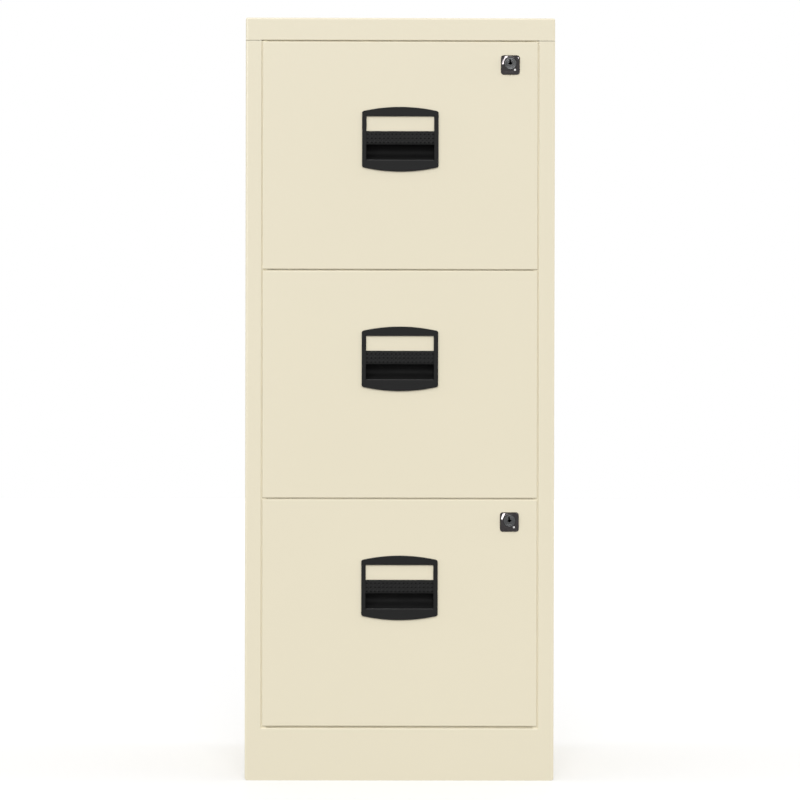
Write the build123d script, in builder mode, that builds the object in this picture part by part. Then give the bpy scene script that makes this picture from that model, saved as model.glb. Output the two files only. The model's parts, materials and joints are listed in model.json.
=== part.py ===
from build123d import *
import os
from math import cos, radians, sin

os.makedirs("parts", exist_ok=True)

# All sizes are in millimetres. The cabinet stands on z = 0. Its front faces -Y, and +X is on the right
# of a person who looks at the front. Drawer 1 is the top one.

# Whole cabinet
cabinet_width = 412
cabinet_depth = 400
cabinet_height = 1016
drawer_count = 3
top_band = 31  # top of the cabinet to the middle of the first gap
plinth_height = 71  # floor to the middle of the lowest gap
stile_width = 22  # outer edge to the middle of the side gap

# Sheet metal of the body
shell_sheet = 1.0
shell_bend = 3.5  # outside radius of the long folds
cap_bend = 2.5  # outside radius round the top panel
edge_round = 0.9  # rounding of the stile's and the cap's inner edges
plinth_bend = 1.5
rib_depth = 3  # pressed ribs of the back panel
rib_width = 14
rib_offset = 68.5  # cabinet's middle to each rib

# Gaps that show on the front
side_gap = 1.5
row_gap = 1.8
plinth_gap = 2.5
cap_seam = 0.6

# Rebate behind the drawers' edges
rebate_clearance = 0.4
lip_width = 7
rail_height = 18  # hidden cross rails
rail_depth = 20
rail_end_clearance = 0.8
plinth_lip_setback = 2  # the side lips to the plinth's own lip

# Joint of the cap and the sides
tongue_height = 40
tongue_rise = 24
tongue_inset = 7.5

# Base and uprights
pan_height = 12
weld_clearance = 0.3
upright_width = 35
upright_sheet = 1.2
upright_setback = 60  # front of the cabinet to the front upright, and the same at the back
slot_width = 4
slot_height = 12
slot_pitch = 50

# Drawer front, liner and tray
front_sheet = 0.8
hem_width = 8  # edge folded flat behind the front
front_bend = 1.2
liner_side_clearance = 2.8  # liner to the rebate lip
liner_inset = 12  # drawer front's top and bottom edges to the liner
liner_setback = 1.0  # back of the hidden rails to the back of the liner
drawer_sheet = 0.8
drawer_bend = 1.5
tray_rear_room = 28  # back of the tray to the back of the cabinet
tray_drop = 50  # middle of the gap above to the tray's top edge
file_rail_sheet = 1.5
file_rail_web = 6
file_rail_leg = 12
file_rail_rise = 3  # how far the rail stands above the tray's edge
file_rail_end_clearance = 1

# Ball-bearing slides
slide_drop = 189  # middle of the gap above to the middle of the slide
slide_thickness = 12.7
slide_half_height = 22.85
slide_sheet = 1.2
slide_bend = 1.8
slide_pass_clearance = 1.8  # middle member to the stile's edge that it passes
flange_tip = 3  # tray side to the edge of the outer and middle members' flanges
middle_shortening = 5
ball_radius = 1.95
ball_clearance = 0.1
balls_in_row = 5
ball_pitch = 30
cage_sheet = 0.4
cage_room = 1.0  # between the webs of the outer and the middle members
cage_play = 0.3
inner_tip_clearance = 1.1
ball_margin = 0.5  # left between a ball's hole and the cage's own edges, both together
cage_length = 150
cage_start = 120  # front of the cabinet to the closed cages
notch_clearance = 4.15  # opening in the lip above and below a slide
notch_side_clearance = 0.3  # opening in the lip beside the middle member

# Rivets
rivet_radius = 2
rivet_head_radius = 3.8
rivet_head = 1.4
rivet_clearance = 0.03
tray_rivet_spacing = 140

# Rubber buffers on the back panel, which the closed drawers stand against
buffer_radius = 6
buffer_foot_radius = 9
buffer_foot = 3
buffer_offset = 125  # cabinet's middle to each buffer
buffer_clearance = 0.4

# Handles: one black moulding with a label window, a knurled strip and a finger cup
handle_drops = [130.6, 118.2, 118.7]  # middle of the gap above to the handle's centre
handle_width = 101.8
handle_height = 85.8
crown_rise = 5.85  # how far the curved top and bottom edges stand past the sides
handle_corner = 3
handle_thickness = 2.8
handle_edge = 0.8
window_side_bar = 5.9
window_top_bar = 12.3
window_height = 19.9
strip_sink = 1.2
strip_margin = 1.15  # strip to the window above it and the finger opening below it
strip_side_bar = 5.8
finger_side_bar = 5.6
finger_bottom_bar = 15.3
finger_height = 20.4
finger_behind = 11  # how far the cup reaches up behind the strip
finger_depth = 18
strip_thickness = 2.6
cup_wall = 1.6
cup_flat = 1.5  # level floor in front of the scooped part
cup_clearance = 0.5
snap_length = 12
snap_depth = 4.7
snap_reach = 2.6

# Locks, on drawers 1 and 3
lock_drawers = {1: "top", 3: "bottom"}
lock_inset = 37  # drawer front's side edge to the lock
lock_drops = {1: 31.4, 3: 30.6}  # middle of the gap above to the housing's centre
housing_width = 25.4
housing_height = 26
housing_bulge = 0.7
housing_corner = 3
housing_proud = 5
housing_edge = 1.6
housing_radius = 9.3
housing_end_clearance = 2  # end of the housing to the liner's back
barrel_rise = 1.8  # housing's centre up to the barrel's axis
barrel_head_radius = 8.1
barrel_head_length = 7
barrel_radius = 6
barrel_proud = 0.4
running_clearance = 0.08
keyway_width = 2.2
keyway_height = 9.5
keyway_depth = 5
face_ring_radii = [6.9, 5.2]
face_ring_width = 0.5
face_ring_depth = 0.35
lock_hole_clearance = 0.3
liner_hole_clearance = 0.7
cam_sheet = 2
cam_gap = 0.5
cam_length = 28
cam_width = 10
cam_hub_radius = 7
cam_square = 7
cam_fit = 0.05
cam_screw_radius = 2
cam_screw_head_radius = 4.5
cam_screw_head = 2.2
cam_screw_length = 8
screw_slot = 1.1
nut_wall = 1.7
nut_thickness = 4

# Lock bar that the top lock's crank pin lifts
crank_radius = 8
crank_start = -45  # degrees from +X, seen from the front
crank_turn = 90
pin_radius = 2.5
pin_length = 8
pin_clearance = 0.4
fork_web = 4
bar_thickness = 2
bar_width = 16
bar_slide_clearance = 2.8  # back of the slides to the bar
bar_past_fork = 1.3  # back of the fork's arm to the back of the bar
arm_thickness = 2
arm_gap = 1
hooked_drawers = [1, 2]
catch_drop = 90  # middle of the gap above to the middle of the catch
catch_height = 12
catch_depth = 12
catch_reach = 4.5
hook_height = 10
hook_thickness = 3
hook_side_clearance = 0.7
hook_clearance = 1.5
hook_play = 1.0
guide_height = 12
guide_wall = 2.2
guide_lip = 1.5
guide_clearance = 0.3
lower_guide_drops = [200, 320]  # first guide's top down to the tops of the others

# Places that follow from the sizes above
half_width = cabinet_width / 2
front_y = (housing_proud + barrel_proud - cabinet_depth) / 2
back_y = front_y + cabinet_depth
drawer_pitch = (cabinet_height - top_band - plinth_height) / drawer_count
gap_heights = [cabinet_height - top_band - n * drawer_pitch for n in range(drawer_count + 1)]
stile_edge = half_width - stile_width + side_gap / 2
front_half = half_width - stile_width - side_gap / 2
wall_inside = half_width - shell_sheet
cap_bottom = gap_heights[0] + row_gap / 2
shell_top = cap_bottom - cap_seam
plinth_top = plinth_height - plinth_gap / 2
lip_edge = stile_edge - lip_width
skin_back = front_y + front_sheet
hem_back = skin_back + front_sheet
lip_front = hem_back + rebate_clearance
lip_back = lip_front + shell_sheet
rail_half = stile_edge - rail_end_clearance
rail_back = lip_back + rail_depth
plinth_lip_front = lip_back + plinth_lip_setback
flat_half = half_width - shell_bend - weld_clearance  # what fits between the rounded folds
panel_back = back_y - shell_sheet
panel_front = panel_back - shell_sheet
liner_half_width = lip_edge - liner_side_clearance
liner_back = rail_back - liner_setback
tray_back = back_y - tray_rear_room
middle_back = slide_thickness - slide_sheet - cage_room
tray_half_width = stile_edge - slide_pass_clearance - middle_back
tray_inside = tray_half_width - drawer_sheet
tray_bottoms = [gap_heights[n + 1] + row_gap / 2 + liner_inset for n in range(drawer_count)]
slide_back = tray_half_width + slide_thickness
upright_top = shell_top - tongue_height - weld_clearance
upright_bottom = pan_height + 2 * shell_sheet
upright_fronts = [front_y + upright_setback, back_y - upright_setback - upright_width]
upright_middles = [y + upright_width / 2 for y in upright_fronts]
slide_heights = [gap_heights[n] - slide_drop for n in range(drawer_count)]
rivet_hole = rivet_radius + rivet_clearance
race = ball_radius + ball_clearance
outer_ball_height = slide_half_height - slide_sheet - race
middle_half_height = outer_ball_height - race
inner_ball_height = middle_half_height - slide_sheet - race
inner_half_height = inner_ball_height - race
outer_cage_back = slide_thickness - slide_sheet - cage_play
inner_cage_back = middle_back - slide_sheet - cage_play
inner_tip = inner_cage_back - cage_sheet - inner_tip_clearance
cage_tip = inner_cage_back - cage_sheet - 2 * race - ball_margin
notch_half = slide_half_height + notch_clearance
notch_edge = tray_half_width + middle_back + notch_side_clearance
tray_rivet_depths = [(liner_back + tray_back) / 2 + n * tray_rivet_spacing for n in (-1, 0, 1)]

# Places on the handle, counted from its centre
crown = handle_height / 2
window_rise = crown - window_top_bar - window_height / 2
finger_rise = finger_bottom_bar + finger_height / 2 - crown
strip_top = window_rise - window_height / 2 - strip_margin
strip_bottom = finger_rise + finger_height / 2 + strip_margin
finger_half = handle_width / 2 - finger_side_bar
cup_low = finger_rise - finger_height / 2 - cup_wall
hollow_top = finger_rise + finger_height / 2 + finger_behind
cup_scoop = finger_depth - strip_thickness - cup_flat
cup_high = hollow_top + cup_wall
cup_side = finger_half + cup_wall
handle_heights = [gap_heights[n] - handle_drops[n] for n in range(drawer_count)]

# Places of the lock's pieces along its axis
lock_offset = front_half - lock_inset
housing_front = front_y - housing_proud
housing_end = liner_back - housing_end_clearance
head_seat = housing_front + barrel_head_length
cam_front = rail_back + cam_gap
cam_back = cam_front + cam_sheet
arm_front = cam_back + cam_screw_head + arm_gap
lock_axes = {n: gap_heights[n - 1] - lock_drops[n] + barrel_rise for n in lock_drawers}
pin_x = lock_offset + crank_radius * cos(radians(crank_start))
pin_z = lock_axes[1] + crank_radius * sin(radians(crank_start))
bar_lift = crank_radius * (sin(radians(crank_start + crank_turn)) - sin(radians(crank_start)))
bar_inside = slide_back + bar_slide_clearance
bar_outside = bar_inside + bar_thickness
bar_back = arm_front + arm_thickness + bar_past_fork
bar_front = bar_back - bar_width
hook_front = (bar_front + bar_back - hook_thickness) / 2
hook_back = hook_front + hook_thickness
hook_tops = [gap_heights[n - 1] - catch_drop - catch_height / 2 - hook_clearance for n in hooked_drawers]
arm_half_height = pin_radius + pin_clearance + fork_web
guide_top = pin_z - arm_half_height - guide_clearance


def block(low, high, mode=Mode.ADD):
    """Adds the box between two opposite corners to the part in hand."""
    middle = [(a + b) / 2 for a, b in zip(low, high)]
    with Locations(tuple(middle)):
        Box(high[0] - low[0], high[1] - low[1], high[2] - low[2], mode=mode)


def peg(x, z, y_front, y_back, radius, mode=Mode.ADD):
    """Adds a round bar that lies from front to back."""
    with Locations(Location((x, (y_front + y_back) / 2, z), (90, 0, 0))):
        Cylinder(radius, y_back - y_front, mode=mode)


def cross_peg(y, z, x_start, x_end, radius, mode=Mode.ADD):
    """Adds a round bar that lies from side to side."""
    with Locations(Location(((x_start + x_end) / 2, y, z), (0, 90, 0))):
        Cylinder(radius, abs(x_end - x_start), mode=mode)


def facing_front(y):
    """The plane at depth y, seen from the front: its own x is X and its own y is Z."""
    return Plane.XZ.offset(-y)


def save(name, part):
    part.label = name
    export_step(part, f"parts/{name}.step")


def make_side_shell():
    """The right side: panel, stile, rebate lip, back flange and bottom flange from one sheet."""
    with BuildPart() as side_shell:
        block((stile_edge, front_y, 0), (half_width, back_y, shell_top))
        long_folds = side_shell.edges().filter_by(Axis.Z).group_by(Axis.X)[-1]
        foot_fold = side_shell.edges().filter_by(Axis.Y).group_by(Axis.Z)[0].sort_by(Axis.X)[-1]
        fillet(long_folds + [foot_fold], radius=shell_bend)
        inner_side = side_shell.faces().filter_by(Axis.X).sort_by(Axis.X)[0]
        upper_end = side_shell.faces().filter_by(Axis.Z).sort_by(Axis.Z)[-1]
        offset(amount=-shell_sheet, openings=[inner_side, upper_end])
        # Return behind the stile's inner edge, and the lip that the drawer's edge closes on
        block((stile_edge, front_y, plinth_top), (stile_edge + shell_sheet, lip_back, shell_top))
        block((lip_edge, lip_front, plinth_top), (stile_edge + shell_sheet, lip_back, shell_top))
        for z in slide_heights:
            block(
                (lip_edge - lip_width, lip_front - shell_sheet, z - notch_half),
                (notch_edge, lip_back + shell_sheet, z + notch_half),
                mode=Mode.SUBTRACT,
            )
        with BuildSketch(Plane.XY.offset(plinth_top)):
            with Locations((stile_edge + edge_round / 2, front_y + edge_round / 2)):
                Rectangle(edge_round, edge_round)
            with Locations((stile_edge + edge_round, front_y + edge_round)):
                Circle(edge_round, mode=Mode.SUBTRACT)
        extrude(amount=shell_top - plinth_top, mode=Mode.SUBTRACT)
        # Tongue that the cap slips over
        block(
            (wall_inside - shell_sheet, front_y + tongue_inset, shell_top - tongue_height),
            (wall_inside, back_y - tongue_inset, shell_top + tongue_rise),
        )
    return side_shell.part


right_shell = make_side_shell()
save("side_shell_right", right_shell)

with BuildPart() as side_shell_left:
    mirror(right_shell, about=Plane.YZ)
save("side_shell_left", side_shell_left.part)

# Top panel with a band folded down on all four sides
with BuildPart() as top_cap:
    block((-half_width, front_y, cap_bottom), (half_width, back_y, cabinet_height))
    fillet(top_cap.edges().filter_by(Axis.Z), radius=shell_bend)
    fillet(top_cap.faces().sort_by(Axis.Z)[-1].edges(), radius=cap_bend)
    offset(amount=-shell_sheet, openings=top_cap.faces().sort_by(Axis.Z)[0])
    block(
        (-half_width + shell_bend, front_y, cap_bottom),
        (half_width - shell_bend, lip_back, cap_bottom + shell_sheet),
    )
    with BuildSketch(Plane.YZ.offset(-stile_edge)):
        with Locations((front_y + edge_round / 2, cap_bottom + edge_round / 2)):
            Rectangle(edge_round, edge_round)
        with Locations((front_y + edge_round, cap_bottom + edge_round)):
            Circle(edge_round, mode=Mode.SUBTRACT)
    extrude(amount=2 * stile_edge, mode=Mode.SUBTRACT)
save("top_cap", top_cap.part)

# Front strip between the stiles, a channel that is open to the back, with a lip behind the lowest gap
with BuildPart() as plinth_rail:
    block((-stile_edge, front_y, 0), (stile_edge, rail_back, plinth_top))
    top_front_edge = plinth_rail.edges().filter_by(Axis.X).group_by(Axis.Z)[-1].sort_by(Axis.Y)[0]
    fillet(top_front_edge, radius=plinth_bend)
    plinth_ends = plinth_rail.faces().filter_by(Axis.X)
    plinth_back = plinth_rail.faces().filter_by(Axis.Y).sort_by(Axis.Y)[-1]
    offset(amount=-shell_sheet, openings=plinth_ends + [plinth_back])
    block(
        (-rail_half, plinth_lip_front, plinth_top - shell_sheet),
        (rail_half, plinth_lip_front + shell_sheet, plinth_height + rail_height / 2),
    )
save("plinth_rail", plinth_rail.part)

# Floor pan on the bottom flanges
with BuildPart() as base_pan:
    block(
        (-flat_half, front_y + shell_sheet + weld_clearance, shell_sheet),
        (flat_half, back_y - 2 * shell_sheet - weld_clearance, shell_sheet + pan_height),
    )
    fillet(base_pan.edges().filter_by(Axis.Z), radius=shell_bend)
    offset(amount=-shell_sheet, openings=base_pan.faces().sort_by(Axis.Z)[-1])
save("base_pan", base_pan.part)

# Back panel inside the back flanges, with two pressed ribs
with BuildPart() as back_panel:
    panel_bottom = shell_sheet + weld_clearance
    panel_top = cabinet_height - cap_bend - weld_clearance
    block((-flat_half, panel_front, panel_bottom), (flat_half, panel_back, panel_top))
    for rib_x in (-rib_offset, rib_offset):
        block(
            (rib_x - rib_width / 2, panel_front - rib_depth, plinth_height),
            (rib_x + rib_width / 2, panel_front, gap_heights[0]),
        )
        block(
            (rib_x - rib_width / 2 + shell_sheet, panel_back - rib_depth, plinth_height + shell_sheet),
            (rib_x + rib_width / 2 - shell_sheet, panel_back, gap_heights[0] - shell_sheet),
            mode=Mode.SUBTRACT,
        )
save("back_panel", back_panel.part)


def make_hidden_rail(z_low, z_high):
    """A channel behind the rebate lips, open to the back."""
    with BuildPart() as rail:
        block((-rail_half, lip_back, z_low), (rail_half, rail_back, z_high))
        offset(amount=-shell_sheet, openings=rail.faces().sort_by(Axis.Y)[-1])
    return rail.part


save("top_rail", make_hidden_rail(gap_heights[0] - rail_height / 2, cabinet_height - shell_sheet))
for rail_name, gap_height in (("cross_rail_upper", gap_heights[1]), ("cross_rail_lower", gap_heights[2])):
    save(rail_name, make_hidden_rail(gap_height - rail_height / 2, gap_height + rail_height / 2))


def make_uprights():
    """The right side's two channels, open to the side wall, with hook slots and rivet holes."""
    slot_count = int((upright_top - upright_bottom) / slot_pitch) - 1
    with BuildPart() as uprights:
        for y in upright_fronts:
            block((slide_back, y, upright_bottom), (wall_inside, y + upright_width, upright_top))
            block(
                (slide_back + upright_sheet, y + upright_sheet, upright_bottom),
                (wall_inside, y + upright_width - upright_sheet, upright_top),
                mode=Mode.SUBTRACT,
            )
        with BuildSketch(Plane.YZ.offset(slide_back)):
            for y in upright_fronts:
                with Locations((y + upright_width / 4, (upright_bottom + upright_top) / 2)):
                    with GridLocations(slot_pitch, slot_pitch, 1, slot_count):
                        Rectangle(slot_width, slot_height)
        extrude(amount=upright_sheet, mode=Mode.SUBTRACT)
        for y in upright_middles:
            for z in slide_heights:
                web_end = slide_back + upright_sheet
                cross_peg(y, z, slide_back, web_end, rivet_hole, mode=Mode.SUBTRACT)
    return uprights.part


uprights_right = make_uprights()
save("uprights_right", uprights_right)
with BuildPart() as uprights_left:
    mirror(uprights_right, about=Plane.YZ)
save("uprights_left", uprights_left.part)


def make_channels(web_at, tip_at, half_height, sheet, z, y_front, y_back):
    """A pair of C sections along Y, left and right, with x counted outwards from the tray's sides."""
    middle = tray_half_width + (web_at + tip_at) / 2
    past_web = sheet if tip_at > web_at else -sheet
    with BuildPart() as channels:
        with BuildSketch(facing_front(y_back)) as section:
            with Locations((middle, z)):
                Rectangle(abs(tip_at - web_at), 2 * half_height)
            web_corners = section.vertices().group_by(Axis.X)[0 if tip_at > web_at else -1]
            fillet(web_corners, radius=min(slide_bend, 1.5 * sheet))
            with Locations((middle + past_web, z)):
                Rectangle(abs(tip_at - web_at), 2 * (half_height - sheet), mode=Mode.SUBTRACT)
            mirror(about=Plane.YZ)
        extrude(amount=y_back - y_front)
    return channels.part


def rivet_places(depths, z):
    """Left and right places of a slide's rivets, as side, y and z."""
    return [(side, y, z) for side in (-1, 1) for y in depths]


def make_outer_members(z):
    """Cabinet members, riveted to the uprights."""
    channels = make_channels(
        slide_thickness, flange_tip, slide_half_height, slide_sheet, z, liner_back, tray_back
    )
    with BuildPart() as members:
        add(channels)
        for side, y, height in rivet_places(upright_middles, z):
            web_start = side * (slide_back - slide_sheet)
            cross_peg(y, height, web_start, side * slide_back, rivet_hole, mode=Mode.SUBTRACT)
    return members.part


def make_middle_members(z):
    shortening = middle_shortening / 2
    front = liner_back + shortening
    return make_channels(
        middle_back, flange_tip, middle_half_height, slide_sheet, z, front, tray_back - shortening
    )


def make_inner_members(z):
    """Drawer members, riveted to the tray."""
    with BuildPart() as members:
        add(make_channels(0, inner_tip, inner_half_height, slide_sheet, z, liner_back, tray_back))
        for side, y, height in rivet_places(tray_rivet_depths, z):
            web_end = side * (tray_half_width + slide_sheet)
            cross_peg(y, height, side * tray_half_width, web_end, rivet_hole, mode=Mode.SUBTRACT)
    return members.part


def make_cages(z, cage_back, ball_height):
    """Ball retainers of both sides, each a thin channel whose flanges hold a row of balls."""
    front = front_y + cage_start
    first_ball = front + (cage_length - (balls_in_row - 1) * ball_pitch) / 2
    ball_x = tray_half_width + (cage_tip + cage_back - cage_sheet) / 2
    places = [
        (side * ball_x, first_ball + n * ball_pitch, z + row * ball_height)
        for side in (-1, 1)
        for row in (-1, 1)
        for n in range(balls_in_row)
    ]
    half_height = ball_height + cage_sheet / 2
    with BuildPart() as cages:
        add(make_channels(cage_back, cage_tip, half_height, cage_sheet, z, front, front + cage_length))
        with Locations(*places):
            Cylinder(race, 2 * cage_sheet, mode=Mode.SUBTRACT)
            Sphere(ball_radius)
    return cages.part


def make_drawer_front(number):
    """Painted outer skin with its edges folded flat behind it, cut for the handle and for a lock."""
    bottom_gap = plinth_gap if number == drawer_count else row_gap
    bottom = gap_heights[number] + bottom_gap / 2
    top = gap_heights[number - 1] - row_gap / 2
    handle_z = handle_heights[number - 1]
    with BuildPart() as skin:
        block((-front_half, front_y, bottom), (front_half, hem_back, top))
        fillet(skin.faces().sort_by(Axis.Y)[0].edges(), radius=min(front_bend, 1.5 * front_sheet))
        block(
            (hem_width - front_half, skin_back, bottom + hem_width),
            (front_half - hem_width, hem_back, top - hem_width),
            mode=Mode.SUBTRACT,
        )
        cut_half = cup_side + cup_clearance
        block(
            (-cut_half, front_y, handle_z + cup_low - cup_clearance),
            (cut_half, skin_back, handle_z + cup_high + cup_clearance),
            mode=Mode.SUBTRACT,
        )
        if number in lock_drawers:
            lock_hole = housing_radius + lock_hole_clearance
            peg(lock_offset, lock_axes[number], front_y, skin_back, lock_hole, mode=Mode.SUBTRACT)
    return skin.part


def make_drawer_liner(number):
    """Inner pan that closes the drawer front from behind."""
    with BuildPart() as liner:
        block(
            (-liner_half_width, skin_back, tray_bottoms[number - 1]),
            (liner_half_width, liner_back, gap_heights[number - 1] - row_gap / 2 - liner_inset),
        )
        fillet(liner.faces().sort_by(Axis.Y)[-1].edges(), radius=drawer_bend)
        offset(amount=-drawer_sheet, openings=liner.faces().sort_by(Axis.Y)[0])
        if number in lock_drawers:
            wall_front = liner_back - drawer_sheet
            lock_hole = housing_radius + liner_hole_clearance
            peg(lock_offset, lock_axes[number], wall_front, liner_back, lock_hole, mode=Mode.SUBTRACT)
    return liner.part


def make_drawer_tray(number):
    """Folded bottom, sides and back. Drawers that the lock bar holds have a catch on the right."""
    top = gap_heights[number - 1] - tray_drop
    with BuildPart() as tray:
        block(
            (-tray_half_width, liner_back, tray_bottoms[number - 1]),
            (tray_half_width, tray_back, top),
        )
        fillet(tray.faces().sort_by(Axis.Z)[0].edges().filter_by(Axis.Y), radius=drawer_bend)
        tray_openings = [tray.faces().sort_by(Axis.Z)[-1], tray.faces().sort_by(Axis.Y)[0]]
        offset(amount=-drawer_sheet, openings=tray_openings)
        for side, y, height in rivet_places(tray_rivet_depths, slide_heights[number - 1]):
            cross_peg(y, height, side * tray_inside, side * tray_half_width, rivet_hole, mode=Mode.SUBTRACT)
        if number in hooked_drawers:
            catch_z = gap_heights[number - 1] - catch_drop
            catch_front = hook_back + hook_play
            block(
                (tray_half_width, catch_front, catch_z - catch_height / 2),
                (tray_half_width + catch_reach, catch_front + catch_depth, catch_z + catch_height / 2),
            )
    return tray.part


def make_file_rails(number):
    """Rails that hanging files hook on, one folded strip inside each side of the tray."""
    edge = gap_heights[number - 1] - tray_drop
    web_top = edge - file_rail_web
    web_bottom = web_top - file_rail_sheet
    rail_front = liner_back + file_rail_end_clearance
    rail_rear = tray_back - drawer_sheet - file_rail_end_clearance
    with BuildPart() as rails:
        with BuildSketch(facing_front(rail_rear)):
            with Locations((tray_inside - file_rail_sheet / 2, web_top - file_rail_leg / 2)):
                Rectangle(file_rail_sheet, file_rail_leg)
            with Locations((tray_inside - file_rail_web / 2, (web_top + web_bottom) / 2)):
                Rectangle(file_rail_web, file_rail_sheet)
            upstand_x = tray_inside - file_rail_web + file_rail_sheet / 2
            with Locations((upstand_x, (web_bottom + edge + file_rail_rise) / 2)):
                Rectangle(file_rail_sheet, edge + file_rail_rise - web_bottom)
            mirror(about=Plane.YZ)
        extrude(amount=rail_rear - rail_front)
    return rails.part


def make_tray_rivets(number):
    """Rivets that join the tray to the slides' drawer members, heads inside the tray."""
    with BuildPart() as rivets:
        for side, y, z in rivet_places(tray_rivet_depths, slide_heights[number - 1]):
            cross_peg(y, z, side * tray_inside, side * (tray_half_width + slide_sheet), rivet_radius)
            cross_peg(y, z, side * (tray_inside - rivet_head), side * tray_inside, rivet_head_radius)
    return rivets.part


def make_handle(number):
    """One moulding: plate with a label window, sunk strip for the grip, and the finger cup."""
    handle_z = handle_heights[number - 1]
    handle_plane = Plane(origin=(0, front_y, handle_z), x_dir=(1, 0, 0), z_dir=(0, -1, 0))
    half = handle_width / 2
    shoulder = crown - crown_rise
    plate_front = front_y - handle_thickness
    hollow_front = plate_front + strip_thickness
    hollow_end = plate_front + finger_depth
    hollow_bottom = cup_low + cup_wall
    cup_end = hollow_end + cup_wall
    with BuildPart() as handle:
        with BuildSketch(handle_plane) as plate:
            with BuildLine():
                Line((-half, -shoulder), (-half, shoulder))
                ThreePointArc((-half, shoulder), (0, crown), (half, shoulder))
                Line((half, shoulder), (half, -shoulder))
                ThreePointArc((half, -shoulder), (0, -crown), (-half, -shoulder))
            make_face()
            fillet(plate.vertices(), radius=handle_corner)
            with Locations((0, window_rise)):
                Rectangle(handle_width - 2 * window_side_bar, window_height, mode=Mode.SUBTRACT)
            with Locations((0, finger_rise)):
                Rectangle(2 * finger_half, finger_height, mode=Mode.SUBTRACT)
        extrude(amount=handle_thickness)
        fillet(handle.faces().sort_by(Axis.Y)[0].edges(), radius=handle_edge)
        # Cup with a scooped floor. In a sketch on this plane, x is the depth and y is the height.
        cup_plane = Plane(origin=(0, 0, handle_z), x_dir=(0, 1, 0), z_dir=(1, 0, 0))
        with BuildSketch(cup_plane) as cup_outside:
            with Locations(((front_y + cup_end) / 2, (cup_low + cup_high) / 2)):
                Rectangle(cup_end - front_y, cup_high - cup_low)
            lower_rear = cup_outside.vertices().group_by(Axis.Y)[0].sort_by(Axis.X)[-1]
            fillet(lower_rear, radius=cup_scoop + cup_wall)
        extrude(amount=cup_side, both=True)
        # Hollow that reaches up behind the strip
        with BuildSketch(cup_plane) as cup_inside:
            with Locations(((hollow_front + hollow_end) / 2, (hollow_bottom + hollow_top) / 2)):
                Rectangle(hollow_end - hollow_front, hollow_top - hollow_bottom)
            lower_rear = cup_inside.vertices().group_by(Axis.Y)[0].sort_by(Axis.X)[-1]
            fillet(lower_rear, radius=cup_scoop)
        extrude(amount=finger_half, both=True, mode=Mode.SUBTRACT)
        strip_half = handle_width / 2 - strip_side_bar
        block(
            (-strip_half, plate_front, handle_z + strip_bottom),
            (strip_half, plate_front + strip_sink, handle_z + strip_top),
            mode=Mode.SUBTRACT,
        )
        # Snap tabs that hold the moulding behind the skin
        snap_front = skin_back + weld_clearance
        snap_z = handle_z + finger_rise
        for side in (-1, 1):
            near, far = sorted((side * cup_side, side * (cup_side + snap_reach)))
            block(
                (near, snap_front, snap_z - snap_length / 2),
                (far, snap_front + snap_depth, snap_z + snap_length / 2),
            )
    return handle.part


def lock_plane(y, z):
    """A plane across a lock's axis, seen from the front."""
    return Plane(origin=(lock_offset, y, z), x_dir=(1, 0, 0), z_dir=(0, -1, 0))


def make_lock_housing(number):
    """Square bezel with bulging sides on a round body, bored for the barrel."""
    axis_z = lock_axes[number]
    half = housing_width / 2
    tall = housing_height / 2
    corner_x = half - housing_bulge
    corner_z = tall - housing_bulge
    with BuildPart() as housing:
        with BuildSketch(lock_plane(front_y, axis_z - barrel_rise)) as bezel:
            with BuildLine():
                ThreePointArc((-corner_x, -corner_z), (-half, 0), (-corner_x, corner_z))
                ThreePointArc((-corner_x, corner_z), (0, tall), (corner_x, corner_z))
                ThreePointArc((corner_x, corner_z), (half, 0), (corner_x, -corner_z))
                ThreePointArc((corner_x, -corner_z), (0, -tall), (-corner_x, -corner_z))
            make_face()
            fillet(bezel.vertices(), radius=housing_corner)
        extrude(amount=housing_proud)
        fillet(housing.faces().sort_by(Axis.Y)[0].edges(), radius=housing_edge)
        peg(lock_offset, axis_z, front_y, housing_end, housing_radius)
        head_bore = barrel_head_radius + running_clearance
        peg(lock_offset, axis_z, housing_front, head_seat, head_bore, mode=Mode.SUBTRACT)
        core_bore = barrel_radius + running_clearance
        peg(lock_offset, axis_z, head_seat, housing_end, core_bore, mode=Mode.SUBTRACT)
    return housing.part


def make_lock_barrel(number):
    """Barrel with a ringed face, a keyway and a square end for the cam."""
    axis_z = lock_axes[number]
    face = housing_front - barrel_proud
    head_end = head_seat - running_clearance
    with BuildPart() as barrel:
        peg(lock_offset, axis_z, face, head_end, barrel_head_radius)
        peg(lock_offset, axis_z, head_end, cam_front, barrel_radius)
        block(
            (lock_offset - cam_square / 2, cam_front, axis_z - cam_square / 2),
            (lock_offset + cam_square / 2, cam_back, axis_z + cam_square / 2),
        )
        with BuildSketch(lock_plane(face, axis_z)):
            for ring_radius in face_ring_radii:
                Circle(ring_radius)
                Circle(ring_radius - face_ring_width, mode=Mode.SUBTRACT)
        extrude(amount=-face_ring_depth, mode=Mode.SUBTRACT)
        block(
            (lock_offset - keyway_width / 2, face, axis_z - keyway_height / 2),
            (lock_offset + keyway_width / 2, face + keyway_depth, axis_z + keyway_height / 2),
            mode=Mode.SUBTRACT,
        )
        screw_hole = cam_screw_radius + cam_fit
        screw_end = cam_back - cam_screw_length - cam_fit
        peg(lock_offset, axis_z, screw_end, cam_back, screw_hole, mode=Mode.SUBTRACT)
    return barrel.part


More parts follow.
